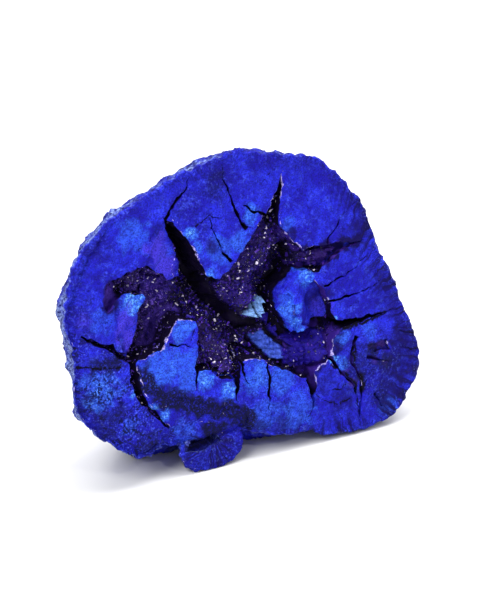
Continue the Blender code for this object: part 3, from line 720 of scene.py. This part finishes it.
def azuriteMaterial():
    c = azuriteColours
    material, shader, b, place, grain = newMaterial("azuriteMass", azuriteFinish)
    speckle = grain.outputs["Grain"]
    broad = b.noise(place, 3.6, 3.0, 0.6)
    middle = b.noise(place, 1.0, 4.0, 0.68)
    small = b.noise(place, 0.34, 3.0, 0.7)
    # the blue mass, mottled at three sizes
    blue = b.mix(b.ramp(broad, 0.36, 0.62), c["deepBlue"], c["blue"])
    blue = b.mix(b.ramp(middle, 0.5, 0.74), blue, c["softBlue"])
    blue = b.mix(b.times(b.ramp(middle, 0.5, 0.3), 0.8), blue, c["deepBlue"])
    blue = b.mix(b.times(b.ramp(small, 0.5, 0.34), 0.7), blue, c["deepBlue"])
    blue = b.mix(b.times(b.mask("rings"), b.ramp(middle, 0.3, 0.6, 0.2, 0.6)), blue, c["deepBlue"])
    azureGrain = b.times(b.ramp(middle, 0.25, 0.6, 0.3, 1.0), b.ramp(small, 0.3, 0.6, 0.5, 1.0))
    azureShare = b.times(b.mask("azureZone"), azureGrain)
    blue = b.mix(azureShare, blue, c["azure"])
    paleShare = b.times(b.ramp(azureShare, 0.55, 1.1), b.ramp(small, 0.45, 0.62), 0.9)
    blue = b.mix(paleShare, blue, c["paleAzure"])
    # violet and lilac places, and the fibres at the rim and on the foot
    blue = b.mix(b.times(b.mask("violetZone"), b.ramp(middle, 0.3, 0.62, 1.0, 0.6)), blue, c["violet"])
    blue = b.mix(b.times(b.mask("lilacZone"), b.ramp(middle, 0.3, 0.6, 0.6, 1.0)), blue, c["lilac"])
    spread = b.node("ShaderNodeCombineXYZ")
    b.put(spread.inputs["X"], b.times(b.mask("fanAngle"), 0.012))
    b.put(spread.inputs["Y"], b.times(b.mask("fanAngle"), 0.003))
    streaks = b.noise(spread.outputs["Vector"], 0.5, 3.0, 0.6)
    fibreShare = b.times(b.mask("fibres"), b.ramp(streaks, 0.56, 0.38))
    blue = b.mix(fibreShare, blue, c["violet"])
    # grainy places, dark grains and pale ones
    pepper = b.noise(place, 0.34, 2.0, 0.6)
    clump = b.noise(place, 1.2, 3.0, 0.6)
    darkGrains = b.times(b.ramp(pepper, 0.56, 0.45), b.ramp(clump, 0.42, 0.56, 0.25, 1.0), 0.95)
    paleGrains = b.times(b.ramp(pepper, 0.57, 0.68), b.ramp(clump, 0.62, 0.42, 0.35, 1.0), 0.6)
    blue = b.mix(b.times(b.mask("grainyZone"), darkGrains), blue, c["darkBand"])
    blue = b.mix(b.times(b.mask("grainyZone"), paleGrains), blue, c["salt"])
    blue = b.mix(b.mask("brownZone"), blue, c["brown"])
    # the dark granular band, the outer rind and its dusty patches
    bandShare = b.times(b.mask("darkBand"), b.ramp(b.noise(place, 0.35, 3.0, 0.7), 0.66, 0.5, 0.3, 1.0))
    blue = b.mix(bandShare, blue, c["darkBand"])
    rindBlue = b.mix(b.ramp(middle, 0.35, 0.62), c["rindDeep"], c["rind"])
    dustPatches = b.math("ADD", b.noise(place, 6.0, 4.0, 0.7), b.times(b.mask("dustSide"), 0.26))
    dustPatches = b.math("ADD", dustPatches, b.times(b.mask("rindLow"), 0.2))
    dusty = b.times(b.ramp(dustPatches, 0.53, 0.84), b.ramp(b.noise(place, 0.5, 3.0, 0.7), 0.38, 0.62))
    rindBlue = b.mix(b.times(dusty, 0.9), rindBlue, c["dust"])
    blue = b.mix(b.mask("rindCover"), blue, rindBlue)
    blue = b.mix(b.times(b.ramp(speckle, 0.55, 0.0), 0.6), blue, c["rindDeep"])
    # cracks, painted shade on the walls and deep places of the hollow, and pale lines along the edges,
    # partly pale crust and partly painted edge highlight
    ragged = b.times(b.math("SUBTRACT", small, 0.5), 2.2)
    ragged = b.math("ADD", ragged, b.times(b.math("SUBTRACT", middle, 0.5), 2.0))
    hair = b.math("ADD", b.mask("hairLine"), ragged)
    blue = b.mix(b.ramp(hair, 1.5, 0.6), blue, c["crack"])
    # Painted shade in the hollow: near-black, wine in violet zones, violet on druse floors.
    wall = b.math("ADD", b.mask("hollowDark"), b.times(b.math("SUBTRACT", small, 0.5), 0.6))
    hollowShadeColour = b.mix(b.mask("violetZone"), c["hollow"], c["wine"])
    floorShare = b.times(b.mask("druseTintAndPaintedLight"), b.ramp(small, 0.35, 0.6, 0.4, 1.0))
    hollowShadeColour = b.mix(floorShare, hollowShadeColour, c["druseFloorAndPaintedLight"])
    blue = b.mix(b.ramp(wall, 0.25, 0.6), blue, hollowShadeColour)
    broken = b.times(b.math("SUBTRACT", b.noise(place, 0.8, 2.0), 0.5), 6.0)
    # Pale lines along the edges: partly pale crust, partly painted edge highlight.
    paleAndHighlight = b.math("ADD", b.mask("paleLine"), b.math("ADD", b.times(ragged, 1.6), broken))
    blue = b.mix(b.times(b.ramp(paleAndHighlight, 0.95, 0.3), b.ramp(speckle, 0.1, 0.7, 0.35, 1.0)), blue, c["lip"])
    b.put(shader.inputs["Base Color"], blue)
    b.put(shader.inputs["Roughness"], b.ramp(middle, 0.3, 0.7, *azuriteFinish["roughness"]))
    addGrainBump(b, shader, grain, azuriteFinish)
    return material


crystalColours = {
    "black": rgb(6, 3, 18), "dark": rgb(18, 9, 52), "blue": rgb(42, 26, 160), "violet": rgb(84, 48, 172),
    "paintedPitLight": rgb(128, 96, 232), "paleAndHighlight": rgb(240, 230, 255), "lilac": rgb(58, 38, 152),
    "ledge": rgb(40, 24, 104), "floor": rgb(44, 28, 98), "smooth": rgb(32, 18, 142),
    "wine": rgb(46, 24, 110), "patch": rgb(140, 186, 255), "grey": rgb(72, 100, 222),
}
crystalFinish = {"specular": 0.3, "roughness": (0.15, 0.35), "glintFrom": 0.93}
crustFinish = {"specular": 0.1, "roughness": 0.5, "coarse": 0.8, "bump": 0.8, "bumpDepth": 0.15}


def crystalMaterial():
    c = crystalColours
    s = crystalFinish
    material, shader, b, place, grain = newMaterial("azuriteCrystals", s)
    tint = b.mask("tint")
    light = b.mask("paintedLightLevel")
    colour = b.mix(b.ramp(tint, 0.3, 0.7), c["dark"], c["blue"])
    colour = b.mix(b.ramp(tint, 0.62, 0.95), colour, c["violet"])
    # Painted shade: crystals in the floor's gaps and deepest parts turn black.
    colour = b.mix(light, c["black"], b.mix(b.mask("pitPaintedLightShare"), colour, c["paintedPitLight"]))
    # Painted glints: crystals whose tint is above the threshold are coloured near-white as highlights,
    # only outside the painted shade.
    paleShare = b.ramp(tint, s["glintFrom"], s["glintFrom"] + 0.01)
    colour = b.mix(b.times(paleShare, light), colour, c["paleAndHighlight"])
    b.put(shader.inputs["Base Color"], colour)
    b.put(shader.inputs["Roughness"], b.ramp(grain.outputs["Grain"], 0.0, 1.0, *s["roughness"]))
    return material


def crustMaterial():
    material, shader, b, place, grain = newMaterial("azuriteCrust", crustFinish)
    # The ground colour carries the floor's painted shade.
    ground = b.node("ShaderNodeAttribute", attribute_name="ground").outputs["Color"]
    shade = b.ramp(b.noise(place, 0.4, 3.0, 0.7), 0.34, 0.6)
    colour = b.mix(b.times(b.math("SUBTRACT", 1.0, shade), 0.5), ground, crystalColours["black"])
    b.put(shader.inputs["Base Color"], colour)
    b.put(shader.inputs["Roughness"], crustFinish["roughness"])
    addGrainBump(b, shader, grain, crustFinish)
    return material


druseSetup = {
    "crustEdge": 0.36, "crustRounds": 9, "crustLumps": ((1.6, 0.125), (0.6, 0.1)), "gapSink": 1.1,
    "blockRise": 2.1, "blockSlope": 0.9, "blockMiddle": -2.5,
    "seed": 4, "tilt": 0.6, "sink": 0.35, "crowding": 2.2, "footEnds": -16.5,
    "stretch": ((0.8, 0.8, 0.9), (1.15, 1.15, 1.7)),
    "crystals": {"spacing": 0.6, "width": (0.26, 0.46), "shape": "prism"},
    "grains": {"spacing": 0.27, "width": (0.14, 0.27), "shape": "grain"},
}

# Colours of the floor where it is not the usual dark violet: u, v, radius, strength, colour, crystals kept
floorZones = [
    (2.4, 4.0, 5.0, 0.8, "ledge", 1), (5.4, 9.0, 3.4, 0.8, "ledge", 1),
    (-5.6, -6.0, 3.4, 0.9, "floor", 1), (-2.6, -8.6, 2.8, 0.9, "floor", 1),
    (-0.5, 0.6, 1.6, 0.5, "lilac", 1), (2.4, 0.2, 1.6, 0.6, "lilac", 1),
    (-12.0, 3.6, 3.6, 0.9, "lilac", 1), (-13.0, 0.0, 2.4, 0.8, "ledge", 1),
    (-16.4, 6.4, 2.4, 0.8, "floor", 1), (-20.6, 4.4, 2.0, 1.0, "wine", 0),
    (-19.2, 6.4, 1.4, 0.9, "wine", 0.4), (13.6, 4.5, 2.0, 1.0, "wine", 0.25),
    (16.8, 5.0, 2.0, 1.0, "wine", 0.1), (19.6, 5.4, 1.6, 1.0, "wine", 0),
    (9.2, -10.4, 2.2, 1.0, "smooth", 0.1), (12.2, -9.4, 2.4, 1.0, "smooth", 0.1),
    (14.6, -10.2, 1.8, 1.0, "smooth", 0.1), (12.2, -12.6, 2.0, 1.0, "smooth", 0.1),
    (11.4, -15.4, 2.0, 1.0, "smooth", 0), (6.2, -4.4, 1.1, 1.0, "smooth", 0.2),
    (7.6, -6.2, 1.5, 1.0, "smooth", 0.1), (9.4, -8.2, 1.4, 1.0, "smooth", 0.1),
]

# Bare facets of the floor: colour and corners
floorFacets = {
    "grey": [(3.5, -7.0), (5.2, -6.3), (7.8, -9.2), (8.0, -11.2), (6.5, -11.3), (5.0, -9.3)],
    "patch": [(1.7, -2.8), (3.4, -2.3), (4.9, -1.2), (6.0, -1.0), (6.3, -2.0), (5.4, -3.4), (3.9, -3.9)],
}

# Deep gaps of the floor, painted black as shade: route, half-width
shadeGapLines = [
    ([(-9.0, 13.5), (-6.6, 8.8), (-5.7, 6.6), (-4.6, 3.9), (-4.0, 2.0), (-2.7, 0.3), (-0.5, -2.0),
      (0.6, -3.5), (2.0, -4.9), (3.8, -4.9)], 1.08),
    ([(10.0, 6.2), (10.4, 4.6), (9.0, 2.2), (7.6, 0.6), (7.0, -1.2)], 0.4),
    ([(3.2, -7.6), (4.8, -9.6), (6.2, -11.5)], 0.22),
    ([(-7.4, -3.4), (-7.4, -7.0), (-8.0, -10.5)], 0.7), ([(5.4, -5.2), (6.6, -7.4), (9.0, -9.6)], 0.45),
    ([(3.9, -4.0), (4.2, -1.6)], 0.2), ([(8.6, -7.4), (12.0, -6.8), (18.0, -6.9), (24.0, -6.7)], 0.9),
]


def crystalShape():
    # A stubby five-sided prism with a wedge-shaped top, one unit wide.
    bm = bmesh.new()
    bmesh.ops.create_cone(bm, cap_ends=True, segments=5, radius1=0.5, radius2=0.42, depth=1.3)
    bmesh.ops.scale(bm, verts=bm.verts, vec=(1.0, 0.75, 1.0))
    for side in ((0.75, 0.1, 0.62), (-0.55, 0.35, 0.75)):
        normal = Vector(side).normalized()
        cut = bmesh.ops.bisect_plane(bm, geom=bm.verts[:] + bm.edges[:] + bm.faces[:], dist=1e-5,
                                     plane_co=normal * 0.5, plane_no=normal, clear_outer=True)
        edges = [item for item in cut["geom_cut"] if isinstance(item, bmesh.types.BMEdge)]
        bmesh.ops.holes_fill(bm, edges=edges, sides=0)
    bmesh.ops.triangulate(bm, faces=bm.faces)
    bmesh.ops.recalc_face_normals(bm, faces=bm.faces)
    return meshFrom(bm, "crystalShape")


def spunFrames(normals, tilt, rng):
    # Turned axes for each copy: z along its normal, tilted and spun at random.
    z = normals + tilt * rng.normal(size=normals.shape)
    z /= np.linalg.norm(z, axis=1)[:, None]
    x = np.cross(z, rng.normal(size=normals.shape))
    x /= np.linalg.norm(x, axis=1)[:, None]
    return np.stack([x, np.cross(z, x), z], axis=1)


def joinCopies(name, shape, places, frames, sizes, masks):
    # One joined mesh with a copy of the shape at every place.
    base = meshCoords(shape)
    coords = np.einsum("vk,ck,ckx->cvx", base, sizes, frames) + places[:, None, :]
    corners = meshTriangles(shape)[None, :, :] + (np.arange(len(places)) * len(base))[:, None, None]
    mesh = bpy.data.meshes.new(name)
    mesh.from_pydata(toWorld(coords.reshape(-1, 3)), [], corners.reshape(-1, 3).tolist())
    for title, values in masks.items():
        addMask(mesh, title, np.repeat(values, len(base)))
    return addPiece(name, mesh)


def grainShape():
    # The tip of a small crystal, one unit wide.
    bm = bmesh.new()
    bmesh.ops.create_cone(bm, cap_ends=True, segments=4, radius1=0.55, radius2=0.0, depth=1.1)
    bmesh.ops.scale(bm, verts=bm.verts, vec=(1.0, 0.7, 1.0))
    bmesh.ops.triangulate(bm, faces=bm.faces)
    return meshFrom(bm, "grainShape")


def insideFacet(points, corners):
    # Distance from the facet's outline, counted inwards and negative outside.
    closed = corners + corners[:1]
    inside = np.zeros(len(points), bool)
    for (u0, v0), (u1, v1) in zip(closed, closed[1:]):
        crosses = (v0 > points[:, 1]) != (v1 > points[:, 1])
        inside ^= crosses & (points[:, 0] < u0 + (points[:, 1] - v0) * (u1 - u0) / (v1 - v0 + 1e-9))
    edge = lineDistance(points, [(closed, 1.0)])
    return np.where(inside, edge, -edge)


def floorMasks(points, vectors):
    # Painted shade of the floor, black in its gaps and below 7.8 mm, the share of crystals kept, and its
    # colour with that shade painted in.
    depth = -points[:, 2]
    ragged = 0.5 * noiseOver(vectors, 1.2, 61) + 0.3 * noiseOver(vectors, 0.5, 62)
    colour = np.tile(crystalColours["dark"], (len(points), 1))
    keep = np.ones(len(points))
    for u, v, radius, strength, name, kept in floorZones:
        away = np.hypot(points[:, 0] - u, points[:, 1] - v) / radius + 0.8 * ragged
        share = np.minimum(strength * smooth(1.25, 0.75, away), 1)
        colour += share[:, None] * (np.array(crystalColours[name]) - colour)
        keep += share * (kept - keep)
    for name, corners in floorFacets.items():
        share = smooth(-0.2, 0.15, insideFacet(points, corners) + 0.15 * ragged)
        colour += share[:, None] * (np.array(crystalColours[name]) - colour)
        keep *= 1 - share
    # Painted shade: the gaps and the deepest floor fade to black.
    gap = smooth(1.1, 0.6, lineDistance(points, shadeGapLines) + 0.5 * ragged)
    light = (1 - gap) * smooth(9.6, 7.8, depth)
    colour = np.array(crystalColours["black"]) + light[:, None] * (colour - crystalColours["black"])
    return colour, keep, light


def scatterOver(mesh, keep, spacing, rng):
    # Random places on the kept triangles, with the normals there, thinned to the spacing.
    triangles = toFace(meshCoords(mesh))[meshTriangles(mesh)][keep]
    cross = np.cross(triangles[:, 1] - triangles[:, 0], triangles[:, 2] - triangles[:, 0])
    area = np.linalg.norm(cross, axis=1) / 2
    count = int(area.sum() / spacing ** 2 * druseSetup["crowding"])
    chosen = rng.choice(len(triangles), count, p=area / area.sum())
    a, b = rng.random((2, count, 1))
    flip = a + b > 1
    a, b = np.where(flip, 1 - a, a), np.where(flip, 1 - b, b)
    t = triangles[chosen]
    places = t[:, 0] + (t[:, 1] - t[:, 0]) * a + (t[:, 2] - t[:, 0]) * b
    normals = cross[chosen] / (2 * area[chosen][:, None])
    cells = np.unique((places // spacing).astype(int), axis=0, return_index=True)[1]
    return places[cells], normals[cells]


def makeCrust():
    s = druseSetup
    bm = joinedNode("crystal_crust")
    refineMesh(bm, s["crustRounds"], lambda depth: s["crustEdge"])
    mesh = meshFrom(bm, "crystal_crust_floor")
    points = toFace(meshCoords(mesh))
    vectors = [Vector(p) for p in points]
    colour, _, light = floorMasks(points, vectors)
    layer = mesh.attributes.new("ground", "FLOAT_COLOR", "POINT")
    layer.data.foreach_set("color", colour.astype(np.float32).ravel())
    lumps = noiseRelief(vectors, s["crustLumps"], 71)
    points += (meshNormals(mesh) @ faceAxes.T) * lumps[:, None]
    points[:, 2] -= s["gapSink"] * smooth(0.7, 0.1, light)
    block = smooth(-0.3, 0.3, insideFacet(points, floorFacets["patch"]))
    points[:, 2] += block * (s["blockRise"] - s["blockSlope"] * (points[:, 1] - s["blockMiddle"]))
    mesh.vertices.foreach_set("co", toWorld(points).ravel())
    mesh.update()
    mesh.shade_smooth()
    piece = addPiece("crystal_crust_floor", mesh)
    mesh.materials.append(crustMaterial())
    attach(piece, "root")
    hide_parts("crystal_crust")
    print("crust floor,", len(mesh.polygons), "triangles")
    return piece


def makeDruse(nodule, at, crustTree, floor):
    s = druseSetup
    rng = np.random.default_rng(s["seed"])
    mesh = nodule.data
    corners = meshTriangles(mesh)
    points = toFace(meshCoords(mesh))
    depth = -points[:, 2][corners].mean(axis=1)
    height = points[:, 1][corners].mean(axis=1)
    tilt = np.array([p.normal for p in mesh.polygons]) @ faceAxes[2]
    lined = at.front[corners].all(axis=1) & (at.hollow[corners].min(axis=1) > 0.9) & (depth > 1.2)
    lined &= (height > s["footEnds"]) & (tilt > 0.25)
    upper = np.array([p.normal for p in floor.data.polygons]) @ faceAxes[2] > 0.2
    material = crystalMaterial()
    shapes = {"prism": crystalShape(), "grain": grainShape()}
    for kind in ("crystals", "grains"):
        k = s[kind]
        places, normals = scatterOver(mesh, lined, k["spacing"], rng)
        bare = [crustTree.ray_cast(Vector(p), ahead, noduleSetup["crustAbove"])[0] is None for p in places]
        crustPlaces, crustNormals = scatterOver(floor.data, upper, k["spacing"], rng)
        places = np.concatenate([places[bare], crustPlaces])
        normals = np.concatenate([normals[bare], crustNormals + (0, 0, 0.8)])
        _, keep, light = floorMasks(places, [Vector(p) for p in places])
        kept = keep * smooth(0.05, 0.45, light) > rng.random(len(places))
        places, normals, light = places[kept], normals[kept], light[kept]
        normals /= np.linalg.norm(normals, axis=1)[:, None]
        frames = spunFrames(normals, s["tilt"], rng)
        width = k["width"][0] + (k["width"][1] - k["width"][0]) * rng.random(len(places)) ** 1.6
        sizes = width[:, None] * rng.uniform(*s["stretch"], (len(places), 3))
        places = places - frames[:, 2] * (sizes[:, 2] * s["sink"] * 0.5)[:, None]
        # Painted light: crystals on the left, more so deep in the pit, are coloured lighter violet against
        # the pit's shade.
        pitPaintedLightShare = smooth(-8.0, -11.0, places[:, 0]) * (0.3 + 0.5 * smooth(-3.5, -6.0, places[:, 2]))
        masks = {"tint": rng.random(len(places)), "paintedLightLevel": light}
        masks["pitPaintedLightShare"] = pitPaintedLightShare * rng.random(len(places))
        piece = joinCopies("druse_" + kind, shapes[k["shape"]], places, frames, sizes, masks)
        piece.data.materials.append(material)
        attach(piece, "root")
        print(kind, len(places), "copies,", len(piece.data.polygons), "triangles")


nodule, at, crustTree = makeNodule()
makeDruse(nodule, at, crustTree, makeCrust())
